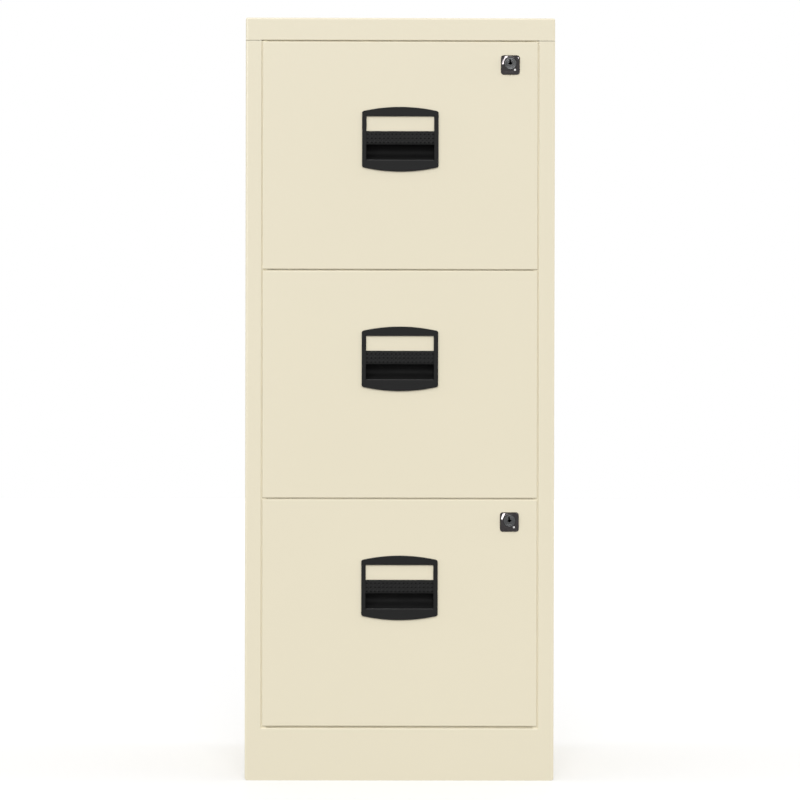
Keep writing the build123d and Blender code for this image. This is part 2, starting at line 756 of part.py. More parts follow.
def make_lock_cam(number):
    """Cam blade that turns up behind the rail. The top lock's cam also has the crank pin."""
    axis_z = lock_axes[number]
    with BuildPart() as cam:
        with BuildSketch(lock_plane(cam_back, axis_z)):
            Circle(cam_hub_radius)
            with Locations((cam_length / 2, 0)):
                Rectangle(cam_length, cam_width)
            if number in hooked_drawers:
                with Locations((pin_x - lock_offset, pin_z - axis_z)):
                    Circle(pin_radius + cam_sheet)
            Rectangle(cam_square + 2 * cam_fit, cam_square + 2 * cam_fit, mode=Mode.SUBTRACT)
        extrude(amount=cam_sheet)
        if number in hooked_drawers:
            peg(pin_x, pin_z, cam_back, cam_back + pin_length, pin_radius)
    return cam.part


def make_lock_nut(number):
    """Hexagonal nut that clamps the housing to the drawer front."""
    nut_back = skin_back + nut_thickness
    with BuildPart() as nut:
        with BuildSketch(lock_plane(nut_back, lock_axes[number])):
            RegularPolygon(housing_radius + nut_wall, 6, major_radius=False)
            Circle(housing_radius + cam_fit, mode=Mode.SUBTRACT)
        extrude(amount=nut_thickness)
    return nut.part


def make_cam_screw(number):
    """Slotted screw that holds the cam on the barrel's square."""
    axis_z = lock_axes[number]
    head_end = cam_back + cam_screw_head
    with BuildPart() as screw:
        peg(lock_offset, axis_z, cam_back, head_end, cam_screw_head_radius)
        peg(lock_offset, axis_z, cam_back - cam_screw_length, cam_back, cam_screw_radius)
        block(
            (lock_offset - cam_screw_head_radius, head_end - screw_slot, axis_z - screw_slot / 2),
            (lock_offset + cam_screw_head_radius, head_end, axis_z + screw_slot / 2),
            mode=Mode.SUBTRACT,
        )
    return screw.part


def make_lock_bar():
    """Strip in the right side with a fork round the crank pin and a hook for each drawer it locks."""
    bar_bottom = min(hook_tops) - 2 * hook_height
    slot_half = pin_radius + pin_clearance
    slot_play = pin_radius + 2 * pin_clearance
    with BuildPart() as bar:
        block((bar_inside, bar_front, bar_bottom), (bar_outside, bar_back, pin_z + arm_half_height))
        block(
            (lock_offset, arm_front, pin_z - arm_half_height),
            (bar_outside, arm_front + arm_thickness, pin_z + arm_half_height),
        )
        block(
            (pin_x - slot_play, arm_front, pin_z - slot_half),
            (lock_offset + crank_radius + slot_play, arm_front + arm_thickness, pin_z + slot_half),
            mode=Mode.SUBTRACT,
        )
        for hook_top in hook_tops:
            block(
                (tray_half_width + hook_side_clearance, hook_front, hook_top - hook_height),
                (bar_outside, hook_back, hook_top),
            )
    return bar.part


def make_lock_bar_guides():
    """Moulded guides on the side wall. The bar's fork rests on the first one."""
    around = guide_clearance + guide_wall
    with BuildPart() as guides:
        for drop in [0] + lower_guide_drops:
            top = guide_top - drop
            block(
                (bar_inside - guide_clearance - guide_lip, bar_front - around, top - guide_height),
                (wall_inside, bar_back + around, top),
            )
            block(
                (bar_inside - guide_clearance, bar_front - guide_clearance, top - guide_height),
                (bar_outside + guide_clearance, bar_back + guide_clearance, top),
                mode=Mode.SUBTRACT,
            )
    return guides.part


def make_slide_rivets():
    """Rivets that hold the slides' cabinet members to the uprights, flush inside the slide."""
    head_at = slide_back + upright_sheet
    with BuildPart() as rivets:
        for slide_z in slide_heights:
            for side, y, z in rivet_places(upright_middles, slide_z):
                cross_peg(y, z, side * (slide_back - slide_sheet), side * head_at, rivet_radius)
                cross_peg(y, z, side * head_at, side * (head_at + rivet_head), rivet_head_radius)
    return rivets.part


def make_drawer_buffers():
    """Rubber stops on the back panel, two behind each drawer."""
    with BuildPart() as buffers:
        for z in slide_heights:
            for x in (-buffer_offset, buffer_offset):
                peg(x, z, tray_back + buffer_clearance, panel_front, buffer_radius)
                peg(x, z, panel_front - buffer_foot, panel_front, buffer_foot_radius)
    return buffers.part


for number in range(1, drawer_count + 1):
    slide_z = slide_heights[number - 1]
    save(f"slide_outer_{number}", make_outer_members(slide_z))
    save(f"slide_middle_{number}", make_middle_members(slide_z))
    save(f"slide_inner_{number}", make_inner_members(slide_z))
    save(f"outer_cages_{number}", make_cages(slide_z, outer_cage_back, outer_ball_height))
    save(f"inner_cages_{number}", make_cages(slide_z, inner_cage_back, inner_ball_height))
    save(f"drawer_front_{number}", make_drawer_front(number))
    save(f"drawer_liner_{number}", make_drawer_liner(number))
    save(f"drawer_tray_{number}", make_drawer_tray(number))
    save(f"file_rails_{number}", make_file_rails(number))
    save(f"tray_rivets_{number}", make_tray_rivets(number))
    save(f"handle_{number}", make_handle(number))

for number, place in lock_drawers.items():
    save(f"lock_housing_{place}", make_lock_housing(number))
    save(f"lock_barrel_{place}", make_lock_barrel(number))
    save(f"lock_cam_{place}", make_lock_cam(number))
    save(f"lock_nut_{place}", make_lock_nut(number))
    save(f"cam_screw_{place}", make_cam_screw(number))

save("lock_bar", make_lock_bar())
save("lock_bar_guides", make_lock_bar_guides())
save("slide_rivets", make_slide_rivets())
save("drawer_buffers", make_drawer_buffers())

print("front", front_y, "stile edge", stile_edge, "tray half", tray_half_width, "liner back", liner_back)
print("tray back", tray_back, "tray bottoms", [round(z, 2) for z in tray_bottoms])
print("drawer pitch", round(drawer_pitch, 3), "gaps", [round(z, 3) for z in gap_heights])
print("slides at", [round(z, 2) for z in slide_heights], "handles at", [round(z, 2) for z in handle_heights])
print("lock x", lock_offset, "axes", lock_axes, "bar lift", round(bar_lift, 4))
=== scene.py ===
import bpy
import json
import numpy as np
from math import radians
from mathutils import Euler, Matrix, Vector


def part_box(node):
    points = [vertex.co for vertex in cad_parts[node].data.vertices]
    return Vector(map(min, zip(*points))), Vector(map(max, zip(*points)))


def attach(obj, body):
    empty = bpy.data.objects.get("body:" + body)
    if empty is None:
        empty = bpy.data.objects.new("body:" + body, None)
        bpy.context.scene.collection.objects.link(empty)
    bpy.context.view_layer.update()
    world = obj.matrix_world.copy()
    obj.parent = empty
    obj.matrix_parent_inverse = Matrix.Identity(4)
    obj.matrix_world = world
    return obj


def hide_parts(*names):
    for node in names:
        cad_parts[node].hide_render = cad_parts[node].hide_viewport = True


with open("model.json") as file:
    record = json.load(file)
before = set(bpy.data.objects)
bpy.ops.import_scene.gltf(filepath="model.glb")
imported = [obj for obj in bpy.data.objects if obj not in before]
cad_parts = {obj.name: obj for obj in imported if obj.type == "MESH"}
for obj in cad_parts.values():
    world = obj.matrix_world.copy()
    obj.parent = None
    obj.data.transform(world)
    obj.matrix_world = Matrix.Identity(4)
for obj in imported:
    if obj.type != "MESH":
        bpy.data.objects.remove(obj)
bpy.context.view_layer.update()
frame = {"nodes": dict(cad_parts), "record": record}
nodes = frame["nodes"]
scene = bpy.context.scene
scene.view_settings.view_transform = "Standard"
print("frame loaded:", len(nodes), "nodes")

# camera where the photographer stood: a little left of the middle, a little above half height
cameraSetup = {
    "place": (-0.0273, -4.2, 0.5374),
    "down": 0.4308,      # degrees
    "right": 0.3940,     # degrees
    "roll": 0.1149,      # degrees
    "lens": 135.226,     # mm
    "film": 36,          # mm
    "farthest": 60,
}
cameraData = bpy.data.cameras.new("camera")
camera = bpy.data.objects.new("camera", cameraData)
scene.collection.objects.link(camera)
cameraData.lens = cameraSetup["lens"]
cameraData.sensor_width = cameraSetup["film"]
cameraData.clip_end = cameraSetup["farthest"]
cameraData.dof.use_dof = False
turns = (radians(90 - cameraSetup["down"]), 0, radians(-cameraSetup["right"]))
lookAhead = Euler(turns, "XYZ").to_matrix()
aboutView = Matrix.Rotation(radians(cameraSetup["roll"]), 3, "Z")
camera.matrix_world = Matrix.Translation(cameraSetup["place"]) @ (lookAhead @ aboutView).to_4x4()
scene.camera = camera


def addNode(tree, kind, **values):
    node = tree.nodes.new(kind)
    for name, value in values.items():
        setattr(node, name, value)
    return node


def newGroup(name, inputs):
    # every finish puts out a colour, a roughness and a height for the bump
    tree = bpy.data.node_groups.new(name, "ShaderNodeTree")
    for label, kind, value in inputs:
        socket = tree.interface.new_socket(name=label, in_out="INPUT", socket_type=kind)
        socket.default_value = value
    outputs = {"Color": "NodeSocketColor", "Roughness": "NodeSocketFloat", "Height": "NodeSocketFloat"}
    for label, kind in outputs.items():
        tree.interface.new_socket(name=label, in_out="OUTPUT", socket_type=kind)
    return tree, addNode(tree, "NodeGroupInput"), addNode(tree, "NodeGroupOutput")


def noise(tree, place, scale, detail=2.0, roughness=0.5):
    node = addNode(tree, "ShaderNodeTexNoise")
    node.inputs["Detail"].default_value = detail
    node.inputs["Roughness"].default_value = roughness
    tree.links.new(place, node.inputs["Vector"])
    if isinstance(scale, (int, float)):
        node.inputs["Scale"].default_value = scale
    else:
        tree.links.new(scale, node.inputs["Scale"])
    return node.outputs["Fac"]


def sums(tree, how, a, b):
    node = addNode(tree, "ShaderNodeMath", operation=how)
    for socket, value in zip(node.inputs, (a, b)):
        if isinstance(value, (int, float)):
            socket.default_value = value
        else:
            tree.links.new(value, socket)
    return node.outputs[0]


def around(tree, value, middle, spread, centre=0.5):
    # value swings about centre; the result swings about middle by spread
    swing = sums(tree, "MULTIPLY", sums(tree, "SUBTRACT", value, centre), spread)
    return sums(tree, "ADD", swing, middle)


def shaded(tree, color, shade):
    # the colour times a grey of brightness shade
    tint = addNode(tree, "ShaderNodeMix", data_type="RGBA", blend_type="MULTIPLY")
    tint.inputs["Factor"].default_value = 1.0
    grey = addNode(tree, "ShaderNodeCombineColor")
    for channel in grey.inputs[:3]:
        tree.links.new(shade, channel)
    tree.links.new(color, tint.inputs["A"])
    tree.links.new(grey.outputs[0], tint.inputs["B"])
    return tint.outputs["Result"]


# sprayed powder: a fine orange peel on a slower swell, and a colour that drifts very slightly
powderSetup = {
    "peelHeight": 0.7,        # heights are shares of the bump's depth
    "swellScale": 70.0,
    "swellHeight": 1.3,
    "cloudScale": 3.2,
    "roughSpread": 0.10,
}


def makePowderCoat():
    s = powderSetup
    tree, given, out = newGroup(
        "powderCoat",
        [("Color", "NodeSocketColor", (1, 1, 1, 1)), ("Drift", "NodeSocketFloat", 0.02),
         ("Peel Scale", "NodeSocketFloat", 420.0), ("Roughness", "NodeSocketFloat", 0.4)],
    )
    where = addNode(tree, "ShaderNodeTexCoord").outputs["Object"]
    peel = noise(tree, where, given.outputs["Peel Scale"], detail=1.0)
    swell = noise(tree, where, s["swellScale"], detail=1.0)
    cloud = noise(tree, where, s["cloudScale"])
    lowPeel = sums(tree, "MULTIPLY", peel, s["peelHeight"])
    highSwell = sums(tree, "MULTIPLY", swell, s["swellHeight"])
    tree.links.new(sums(tree, "ADD", lowPeel, highSwell), out.inputs["Height"])
    shade = around(tree, cloud, 1.0, given.outputs["Drift"])
    tree.links.new(shaded(tree, given.outputs["Color"], shade), out.inputs["Color"])
    rough = around(tree, cloud, given.outputs["Roughness"], s["roughSpread"])
    tree.links.new(rough, out.inputs["Roughness"])
    return tree


# moulded plastic: spark-eroded grain, and slightly shinier patches where hands touch
mouldSetup = {
    "finer": 0.6,             # strength of each finer layer of the grain
    "patchScale": 45.0,
    "roughSpread": 0.16,
    "shadeSpread": 0.5,
}


def makeMouldGrain():
    s = mouldSetup
    tree, given, out = newGroup(
        "mouldGrain",
        [("Color", "NodeSocketColor", (0.01, 0.01, 0.01, 1)), ("Grain Scale", "NodeSocketFloat", 1500.0),
         ("Roughness", "NodeSocketFloat", 0.5), ("Painted Shade", "NodeSocketFloat", 1.0)],
    )
    where = addNode(tree, "ShaderNodeTexCoord").outputs["Object"]
    grain = noise(tree, where, given.outputs["Grain Scale"], roughness=s["finer"])
    patch = noise(tree, where, s["patchScale"])
    tree.links.new(grain, out.inputs["Height"])
    rough = around(tree, patch, given.outputs["Roughness"], s["roughSpread"])
    tree.links.new(rough, out.inputs["Roughness"])
    speckle = around(tree, grain, 1.0, s["shadeSpread"])
    # the Painted Shade input darkens the colour as painted shade, in the pulls' finger cups and the grips'
    # pits
    shade = sums(tree, "MULTIPLY", speckle, given.outputs["Painted Shade"])
    tree.links.new(shaded(tree, given.outputs["Color"], shade), out.inputs["Color"])
    return tree


# rolled or plated metal: streaks drawn out along one axis, and cloudy patches from the plating bath
metalSetup = {
    "finer": 0.6,             # strength of each finer layer of the streaks and clouds
    "cloudRough": 0.3,
    "streakRough": 0.2,
}


def makeMetalGrain():
    s = metalSetup
    tree, given, out = newGroup(
        "metalGrain",
        [("Color", "NodeSocketColor", (0.6, 0.6, 0.6, 1)), ("Stretch", "NodeSocketVector", (900, 30, 900)),
         ("Cloud Scale", "NodeSocketFloat", 60.0), ("Cloud", "NodeSocketFloat", 0.2),
         ("Roughness", "NodeSocketFloat", 0.35)],
    )
    where = addNode(tree, "ShaderNodeTexCoord").outputs["Object"]
    drawn = addNode(tree, "ShaderNodeVectorMath", operation="MULTIPLY")
    tree.links.new(where, drawn.inputs[0])
    tree.links.new(given.outputs["Stretch"], drawn.inputs[1])
    streak = noise(tree, drawn.outputs[0], 1.0, detail=3.0, roughness=s["finer"])
    cloud = noise(tree, where, given.outputs["Cloud Scale"], detail=3.0, roughness=s["finer"])
    tree.links.new(streak, out.inputs["Height"])
    shade = around(tree, cloud, 1.0, given.outputs["Cloud"])
    tree.links.new(shaded(tree, given.outputs["Color"], shade), out.inputs["Color"])
    rough = around(tree, cloud, given.outputs["Roughness"], s["cloudRough"])
    tree.links.new(around(tree, streak, rough, s["streakRough"]), out.inputs["Roughness"])
    return tree


groups = {"powder": makePowderCoat(), "mould": makeMouldGrain(), "metal": makeMetalGrain()}
print("node groups ready:", ", ".join(groups))


def makeFinish(name, group, settings, bump, bumpDepth=0.0001, metallic=0.0, specular=0.5):
    # settings go to the group's inputs, bump is the strength of its height
    material = bpy.data.materials.new(name)
    material.use_nodes = True
    tree = material.node_tree
    shader = tree.nodes["Principled BSDF"]
    pattern = addNode(tree, "ShaderNodeGroup", node_tree=groups[group], name="pattern")
    for label, value in settings.items():
        pattern.inputs[label].default_value = value
    bumps = addNode(tree, "ShaderNodeBump")
    bumps.inputs["Strength"].default_value = bump
    bumps.inputs["Distance"].default_value = bumpDepth
    tree.links.new(pattern.outputs["Height"], bumps.inputs["Height"])
    tree.links.new(bumps.outputs["Normal"], shader.inputs["Normal"])
    tree.links.new(pattern.outputs["Color"], shader.inputs["Base Color"])
    tree.links.new(pattern.outputs["Roughness"], shader.inputs["Roughness"])
    shader.inputs["Metallic"].default_value = metallic
    shader.inputs["Specular IOR Level"].default_value = specular
    material.diffuse_color = settings["Color"]
    return material


def paintShade(material, shade):
    # painted shade: the plastic's colour times shade, a socket in the material
    material.node_tree.links.new(shade, material.node_tree.nodes["pattern"].inputs["Painted Shade"])


# settings of the finishes, by what the pieces are made of
paint = {"Color": (0.800, 0.735, 0.560, 1), "Drift": 0.02, "Peel Scale": 420.0, "Roughness": 0.42}
innerPaint = {"Color": (0.790, 0.725, 0.552, 1), "Drift": 0.05, "Peel Scale": 360.0, "Roughness": 0.48}
black = {"Color": (0.0137, 0.0138, 0.0137, 1), "Grain Scale": 1500.0, "Roughness": 0.50}
zinc = {"Color": (0.35, 0.355, 0.365, 1), "Stretch": (900, 30, 900), "Cloud Scale": 55.0, "Cloud": 0.14,
        "Roughness": 0.38}
rolledSteel = dict(zinc, Color=(0.30, 0.30, 0.31, 1), Roughness=0.32)
evenZinc = dict(zinc, Stretch=(200, 200, 200))
yellowZinc = dict(zinc, Color=(0.40, 0.38, 0.33, 1), Stretch=(60, 900, 900))
# the lock's chrome is coloured very dark, a painted reflection of dark surroundings; the barrel's turned face
# is a little less dark
paintedDarkChrome = {"Color": (0.050, 0.046, 0.047, 1), "Stretch": (150, 150, 150), "Cloud Scale": 120.0,
              "Cloud": 0.06, "Roughness": 0.10}
paintedDarkTurnedChrome = {"Color": (0.068, 0.069, 0.070, 1), "Stretch": (300, 300, 300), "Cloud Scale": 200.0,
                "Cloud": 0.06, "Roughness": 0.28}
rubber = {"Color": (0.06, 0.06, 0.06, 1), "Grain Scale": 900.0, "Roughness": 0.75}
nylon = {"Color": (0.66, 0.64, 0.58, 1), "Grain Scale": 700.0, "Roughness": 0.5}
# white of the painted highlight dot on the locks
paintedGlint = {"Color": (0.86, 0.86, 0.85, 1), "Drift": 0.03, "Peel Scale": 900.0, "Roughness": 0.30}

finishes = {
    "body_paint": makeFinish("bodyPaint", "powder", paint, bump=0.10, bumpDepth=0.0002),
    "front_paint": makeFinish("frontPaint", "powder", paint, bump=0.10, bumpDepth=0.0002),
    "inner_paint": makeFinish("innerPaint", "powder", innerPaint, bump=0.14, bumpDepth=0.0002),
    "tray_paint": makeFinish("trayPaint", "powder", innerPaint, bump=0.14, bumpDepth=0.0002),
    "file_rail_steel": makeFinish("fileRailPaint", "powder", innerPaint, bump=0.12, bumpDepth=0.0002),
    "handle_plastic": makeFinish("handlePlastic", "mould", black, bump=0.25, specular=0.08),
    "slide_zinc": makeFinish("slideZinc", "metal", zinc, metallic=1.0, bump=0.08),
    "cage_steel": makeFinish("cageSteel", "metal", rolledSteel, metallic=1.0, bump=0.06),
    "rivet_steel": makeFinish("rivetSteel", "metal", evenZinc, metallic=1.0, bump=0.10),
    "lock_zinc": makeFinish("lockZinc", "metal", yellowZinc, metallic=1.0, bump=0.10),
    "nut_zinc": makeFinish("nutZinc", "metal", evenZinc, metallic=1.0, bump=0.12),
    "screw_steel": makeFinish("screwSteel", "metal", evenZinc, metallic=1.0, bump=0.12),
    "lock_chrome": makeFinish("lockPaintedDarkChrome", "metal", paintedDarkChrome, metallic=1.0, bump=0.02),
    "barrel_chrome": makeFinish("barrelPaintedDarkChrome", "metal", paintedDarkTurnedChrome, metallic=1.0, bump=0.05),
    "buffer_rubber": makeFinish("bufferRubber", "mould", rubber, bump=0.3),
    "guide_nylon": makeFinish("guideNylon", "mould", nylon, bump=0.15),
}
slotOf = {part["node"]: part["material_slot"] for part in frame["record"]["subparts"]}
for name, node in nodes.items():
    for materialSlot in node.material_slots:
        materialSlot.material = finishes[slotOf[name]]
print("finishes on CAD nodes:", len(finishes))

# painted shade: the pull's finger cup gets darker with depth behind its face, standing in for the shadow
# inside the recess
cupPaintedShade = {
    "from": 0.009,            # depth behind the pull's face
    "to": 0.0185,
    "shade": 0.16,            # brightness from there on
}


def paintCupShade(material):
    # painted shade: brightness 1 down to the first depth, then a smooth fall to the second
    s = cupPaintedShade
    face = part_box("handle_1")[0].y
    tree = material.node_tree
    place = addNode(tree, "ShaderNodeSeparateXYZ")
    tree.links.new(addNode(tree, "ShaderNodeTexCoord").outputs["Object"], place.inputs[0])
    fall = addNode(tree, "ShaderNodeMapRange", interpolation_type="SMOOTHSTEP")
    tree.links.new(place.outputs["Y"], fall.inputs["Value"])
    fall.inputs["From Min"].default_value = face + s["from"]
    fall.inputs["From Max"].default_value = face + s["to"]
    fall.inputs["To Min"].default_value = 1.0
    fall.inputs["To Max"].default_value = s["shade"]
    paintShade(material, fall.outputs["Result"])


paintCupShade(finishes["handle_plastic"])


def ringFaces(rows, columns, closed):
    # quads between neighbouring rows of points; every row closes on itself, and so do the rows if closed
    steps = np.arange(rows if closed else rows - 1)
    row, column = np.meshgrid(steps, np.arange(columns), indexing="ij")
    beside, beyond = (column + 1) % columns, (row + 1) % rows
    near, far = row * columns, beyond * columns
    return np.stack([near + column, near + beside, far + beside, far + column], axis=-1).reshape(-1, 4)


sharpAngle = 32   # degrees; edges that bend more than this look sharp


def addPiece(name, points, faces, body, finish):
    # faces are lists of corner numbers; a shell whose volume comes out negative is turned inside out
    triangles = np.array([(face[0], face[i], face[i + 1]) for face in faces for i in range(1, len(face) - 1)])
    a, b, c = (points[triangles[:, i]] for i in range(3))
    if np.sum(a * np.cross(b, c)) < 0:
        faces = [face[::-1] for face in faces]
    mesh = bpy.data.meshes.new(name)
    mesh.from_pydata(points.tolist(), [], faces)
    mesh.shade_smooth()
    mesh.set_sharp_from_angle(angle=radians(sharpAngle))
    mesh.materials.append(finish)
    piece = bpy.data.objects.new(name, mesh)
    scene.collection.objects.link(piece)
    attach(piece, body)
    return piece


def shellFromRings(rings, poles):
    # closed rings of points, stacked from one pole to the other; with no poles the stack closes on itself
    rows, columns = rings.shape[:2]
    points = rings.reshape(-1, 3)
    faces = ringFaces(rows, columns, closed=not poles).tolist()
    if poles:
        points = np.vstack([points, np.array(poles)])
        column = np.arange(columns)
        beside = (column + 1) % columns
        last = (rows - 1) * columns
        first = np.full(columns, rows * columns)
        faces += np.stack([beside, column, first], axis=-1).tolist()
        faces += np.stack([last + column, last + beside, first + 1], axis=-1).tolist()
    return points, faces


def squareRadius(angle, halfWide, halfTall, power):
    # distance from the middle to a square with bulging sides: the power mean of its two half sizes
    across = np.abs(np.cos(angle) / halfWide) ** power
    along = np.abs(np.sin(angle) / halfTall) ** power
    return (across + along) ** (-1 / power)


# sizes that the bezel, the barrel and the dot share
lockSetup = {
    "running": 0.00008,       # clearance between barrel and housing
    "headLong": 0.007,        # bezel's front to the seat of the barrel's head
}

# lock bezels: radii are about the lock's axis, heights are over the drawer's skin
bezelSetup = {
    "columns": 144,
    "squareness": 7.5,        # 2 is an ellipse, more is squarer
    "wall": 0.0008,           # straight edge that stands on the skin
    "bevel": 0.0014,          # width of the rounded slope inside the edge
    "bevelTurns": (12, 78, 6),      # degrees, first and last, and how many
    "bevelBulge": 0.55,       # 0 is a flat slope, 1 a quarter ellipse
    "coneShares": (0.0, 0.06, 0.14, 0.26, 0.40, 0.55, 0.70, 0.85, 1.0),     # from the bevel to the ring
    "coneSlope": 0.40,        # fall of the cone at the ring, for each metre outwards
    "coneBend": 17.0,         # its further fall, for each square metre of distance squared
    "ringWide": 0.0007,       # flat ring round the barrel
    "ringRound": 0.0003,      # its rounded inner edge
    "ringTurns": (20, 55, 90),      # degrees
    "coreBore": 0.00608,
    "bodyRadius": 0.0093,
    "backEdge": 0.0006,
}


def makeBezel(place, body):
    s = bezelSetup
    low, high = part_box("lock_housing_" + place)
    barrelLow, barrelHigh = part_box("lock_barrel_" + place)
    axis = (barrelLow + barrelHigh) / 2
    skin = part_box("drawer_front_1")[0].y
    proud = skin - low.y
    bore = (barrelHigh.x - barrelLow.x) / 2 + lockSetup["running"]
    headSeat = low.y + lockSetup["headLong"]
    halfWide, halfTall = (high.x - low.x) / 2, (high.z - low.z) / 2
    rise = axis.z - (low.z + high.z) / 2
    angle = np.linspace(0, 2 * np.pi, s["columns"], endpoint=False)
    cos, sin = np.cos(angle), np.sin(angle)

    def circle(radius, y):
        return np.stack([axis.x + radius * cos, np.full_like(angle, y), axis.z + radius * sin], axis=-1)

    def outline(inset):
        # seen from the front; the barrel's axis lies above the outline's middle by rise
        radius = squareRadius(angle, halfWide - inset, halfTall - inset, s["squareness"])
        return np.stack([axis.x + radius * cos, axis.z - rise + radius * sin], axis=-1)

    def onCone(plan):
        # height over the skin: full at the ring, less slope times distance and bend times distance squared
        away = np.hypot(plan[:, 0] - axis.x, plan[:, 1] - axis.z)
        out = np.maximum(away - bore - s["ringWide"], 0)
        return proud - s["coneSlope"] * out - s["coneBend"] * out * out

    def raised(plan, height):
        return np.stack([plan[:, 0], skin - height, plan[:, 1]], axis=-1)

    level = np.zeros_like(angle)
    foot = outline(0.0)
    crestPlan = outline(s["bevel"])
    crestHeight = onCone(crestPlan)
    rings = [circle(s["bodyRadius"], skin), raised(foot, level), raised(foot, level + s["wall"])]
    for turn in np.radians(np.linspace(*s["bevelTurns"])):
        # from the wall up to the cone, part quarter ellipse and part flat slope
        share = 1 - np.cos(turn)
        climb = s["bevelBulge"] * np.sin(turn) + (1 - s["bevelBulge"]) * share
        rings.append(raised(outline(s["bevel"] * share), s["wall"] + (crestHeight - s["wall"]) * climb))
    inner = circle(bore + s["ringWide"], skin)[:, [0, 2]]
    for share in s["coneShares"]:
        plan = crestPlan + (inner - crestPlan) * share
        rings.append(raised(plan, onCone(plan)))
    for turn in np.radians(s["ringTurns"]):
        radius = bore + s["ringRound"] * (1 - np.sin(turn))
        rings.append(circle(radius, low.y + s["ringRound"] * (1 - np.cos(turn))))
    rings += [
        circle(bore, headSeat),
        circle(s["coreBore"], headSeat),
        circle(s["coreBore"], high.y),
        circle(s["bodyRadius"] - s["backEdge"], high.y),
        circle(s["bodyRadius"], high.y - s["backEdge"]),
    ]
    points, faces = shellFromRings(np.array(rings), None)
    piece = addPiece("lockBezel_" + place, points, faces, body, finishes["lock_chrome"])
    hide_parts("lock_housing_" + place)
    return axis


# lock barrels: turned face with rings, and a keyway that runs from the top down into a lozenge
barrelSetup = {
    "columns": 240,
    "rings": (0.0069, 0.0052),      # radii of the turned rings
    "ringHalf": 0.000225,     # distance at which a ring is about a third as deep
    "ringDeep": 0.00009,
    "chamfer": 0.0004,
    "slotHalf": 0.00105,
    "slotTop": 0.0056,
    "lozengeWide": 0.0031,
    "lozengeTall": 0.0023,
    "keyEdge": 0.00012,       # worn edge of the keyway
    "keyDeep": 0.005,
    "keyEnd": 0.010,          # depth of the point that the keyway narrows to
    "tipLong": 0.002,         # length of that point
    "tipWide": 0.5,           # its width where it starts, as a share of the keyway's
    "tilt": 8,                # degrees, top to the left
    "faceRows": 34,
    "facePacking": 1.05,      # over 1 puts the rows closer together beside the keyway
    "coreRadius": 0.0060,
    "squareHalf": 0.0035,     # square end that carries the cam
    "squareness": 14.0,
    "squareEdge": 0.0003,
    "screwRadius": 0.00205,
    "screwDeep": 0.00805,
}


def makeBarrel(place, body, axis):
    s = barrelSetup
    low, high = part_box("lock_barrel_" + place)
    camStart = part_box("lock_cam_" + place)[0].y
    radius = (high.x - low.x) / 2
    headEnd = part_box("lock_housing_" + place)[0].y + lockSetup["headLong"] - lockSetup["running"]
    screwEnd = high.y - s["screwDeep"]
    angle = np.linspace(0, 2 * np.pi, s["columns"], endpoint=False)
    cos, sin = np.cos(angle), np.sin(angle)
    # the keyway's edge: the farther out of a straight slot, above the axis only, and a lozenge
    up = angle - np.pi / 2 - radians(s["tilt"])
    beside, above = np.abs(np.sin(up)), np.cos(up)
    tiny = 1e-6   # keeps the divisions finite
    slot = np.minimum(s["slotHalf"] / np.maximum(beside, tiny), s["slotTop"] / np.maximum(above, tiny))
    slot = np.where(above > 0, slot, 0)
    lozenge = 1 / (beside / s["lozengeWide"] + np.abs(above) / s["lozengeTall"])
    key = np.maximum(slot, lozenge)

    def ring(radii, y):
        return np.stack([axis.x + radii * cos, y + 0 * angle, axis.z + radii * sin], axis=-1)

    rings = [
        ring(s["tipWide"] * key, low.y + s["keyEnd"] - s["tipLong"]),
        ring(key, low.y + s["keyDeep"]),
        ring(key, low.y + s["keyEdge"]),
    ]
    inside, outside = key + s["keyEdge"], radius - s["chamfer"]
    for share in np.linspace(0, 1, s["faceRows"]) ** s["facePacking"]:
        # each turned ring is a bell-shaped groove: e to the power of minus its squared distance
        radii = inside + (outside - inside) * share
        groove = sum(np.exp(-(((radii - middle) / s["ringHalf"]) ** 2)) for middle in s["rings"])
        rings.append(ring(radii, low.y + s["ringDeep"] * groove))
    square = squareRadius(angle, s["squareHalf"], s["squareHalf"], s["squareness"])
    rings += [
        ring(radius, low.y + s["chamfer"]),
        ring(radius, headEnd),
        ring(s["coreRadius"], headEnd),
        ring(s["coreRadius"], camStart),
        ring(square, camStart),
        ring(square, high.y - s["squareEdge"]),
        ring(square - s["squareEdge"], high.y),
        ring(s["screwRadius"], high.y),
        ring(s["screwRadius"], screwEnd),
    ]
    poles = [(axis.x, low.y + s["keyEnd"], axis.z), (axis.x, screwEnd, axis.z)]
    points, faces = shellFromRings(np.array(rings), poles)
    piece = addPiece("lockBarrel_" + place, points, faces, body, finishes["barrel_chrome"])
    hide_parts("lock_barrel_" + place)


# white dot on the bezel's cone, a painted highlight standing in for a small lamp's reflection there
highlightDotSetup = {
    "right": 0.0059,
    "down": 0.0087,
    "radius": 0.00135,
    "crown": 0.000014,        # last ring to the top of the dot
    "columns": 32,
    # share of the radius, and height over the bezel
    "profile": ((0.95, -0.0006), (1.0, 0.0001), (0.86, 0.000217), (0.62, 0.000294), (0.32, 0.000336)),
}
highlightDotFinish = makeFinish("dotPaintedHighlight", "powder", paintedGlint, bump=0.05)


